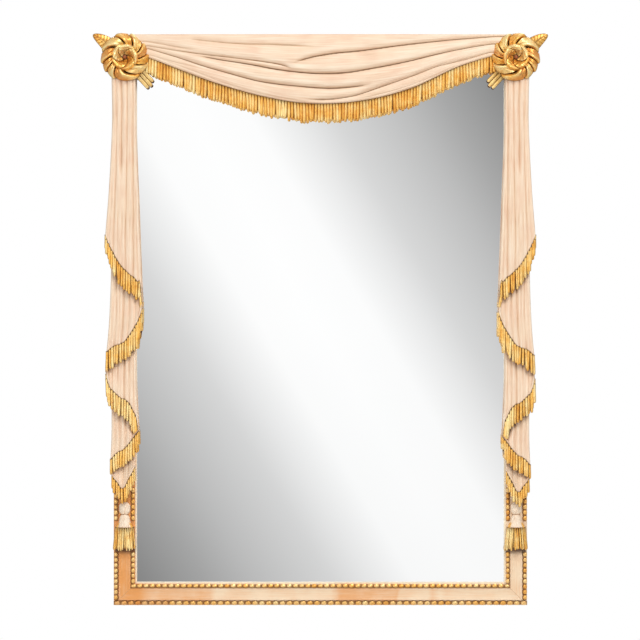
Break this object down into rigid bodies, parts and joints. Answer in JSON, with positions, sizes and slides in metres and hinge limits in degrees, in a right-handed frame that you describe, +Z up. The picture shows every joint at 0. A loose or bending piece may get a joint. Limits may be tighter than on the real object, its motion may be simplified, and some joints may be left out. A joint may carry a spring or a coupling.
{
  "type": "carved wall mirror",
  "caption": "Upright wall mirror in a beaded frame, dressed with carved and painted drapery, gilt fringe, corner rosettes and tassels, hung on keyhole plates.",
  "frame": {"origin": "midway between the two keyhole entries, on the back of the frame", "axes": "+Z up, +Y towards the wall, so the glass faces -Y, +X to the viewer's right"},
  "size_m": [0.9082, 0.0665, 1.1455],
  "materials": {
    "cream_paint": "carved wood, gessoed, painted cream and glazed brown in the hollows",
    "frame_paint": "moulded wood, painted cream over peach, worn",
    "gilt": "carved wood, gold leaf over red bole",
    "mirror_glass": "silvered float glass",
    "felt": "pressed wool felt",
    "plywood": "sanded birch plywood",
    "beech": "planed beech",
    "rubber": "moulded rubber",
    "steel": "zinc plated",
    "brass": "brass plated steel"
  },
  "bodies": {
    "frame": {"backing_board": "plywood", "bottom_inner_beads": "gilt", "bottom_outer_beads": "gilt", "bottom_rail": "frame_paint", "bottom_slip": "gilt", "corner_keys": "beech", "drop_screws": "steel", "felt_sheet": "felt", "hanger_screws": "steel", "left_drop": "cream_paint", "left_drop_fringe": "gilt", "left_inner_beads": "gilt", "left_keyhole_plate": "steel", "left_outer_beads": "gilt", "left_rosette_leaf": "gilt", "left_rosette_pin": "gilt", "left_rosette_rose": "gilt", "left_rosette_stems": "gilt", "left_rosette_wreath": "gilt", "left_slip": "gilt", "left_stile": "frame_paint", "left_tassel_cap": "cream_paint", "left_tassel_knob": "cream_paint", "left_tassel_skirt": "gilt", "mirror_plate": "mirror_glass", "right_drop": "cream_paint", "right_drop_fringe": "gilt", "right_inner_beads": "gilt", "right_keyhole_plate": "steel", "right_outer_beads": "gilt", "right_rosette_leaf": "gilt", "right_rosette_pin": "gilt", "right_rosette_rose": "gilt", "right_rosette_stems": "gilt", "right_rosette_wreath": "gilt", "right_slip": "gilt", "right_stile": "frame_paint", "right_tassel_cap": "cream_paint", "right_tassel_knob": "cream_paint", "right_tassel_skirt": "gilt", "rosette_dowels": "beech", "swag": "cream_paint", "swag_fringe": "gilt", "swag_screws": "steel", "top_rail": "frame_paint", "top_slip": "gilt", "turn_button_screws": "steel", "wall_bumpers": "rubber"},
    "left_upper_turn_button": {"left_upper_turn_button": "brass"},
    "left_lower_turn_button": {"left_lower_turn_button": "brass"},
    "right_upper_turn_button": {"right_upper_turn_button": "brass"},
    "right_lower_turn_button": {"right_lower_turn_button": "brass"},
    "top_left_turn_button": {"top_left_turn_button": "brass"},
    "top_right_turn_button": {"top_right_turn_button": "brass"},
    "bottom_left_turn_button": {"bottom_left_turn_button": "brass"},
    "bottom_right_turn_button": {"bottom_right_turn_button": "brass"}
  },
  "joints": [
    {"name": "left_upper_button_pivot", "type": "hinge", "parent": "frame", "child": "left_upper_turn_button", "pos_m": [-0.386, 0.001, -0.102], "axis": [0, 1, 0], "continuous": true},
    {"name": "left_lower_button_pivot", "type": "hinge", "parent": "frame", "child": "left_lower_turn_button", "pos_m": [-0.386, 0.001, -0.558], "axis": [0, 1, 0], "continuous": true},
    {"name": "right_upper_button_pivot", "type": "hinge", "parent": "frame", "child": "right_upper_turn_button", "pos_m": [0.386, 0.001, -0.102], "axis": [0, 1, 0], "continuous": true},
    {"name": "right_lower_button_pivot", "type": "hinge", "parent": "frame", "child": "right_lower_turn_button", "pos_m": [0.386, 0.001, -0.558], "axis": [0, 1, 0], "continuous": true},
    {"name": "top_left_button_pivot", "type": "hinge", "parent": "frame", "child": "top_left_turn_button", "pos_m": [-0.207, 0.001, 0.212], "axis": [0, 1, 0], "continuous": true},
    {"name": "top_right_button_pivot", "type": "hinge", "parent": "frame", "child": "top_right_turn_button", "pos_m": [0.207, 0.001, 0.212], "axis": [0, 1, 0], "continuous": true},
    {"name": "bottom_left_button_pivot", "type": "hinge", "parent": "frame", "child": "bottom_left_turn_button", "pos_m": [-0.207, 0.001, -0.872], "axis": [0, 1, 0], "continuous": true},
    {"name": "bottom_right_button_pivot", "type": "hinge", "parent": "frame", "child": "bottom_right_turn_button", "pos_m": [0.207, 0.001, -0.872], "axis": [0, 1, 0], "continuous": true}
  ]
}
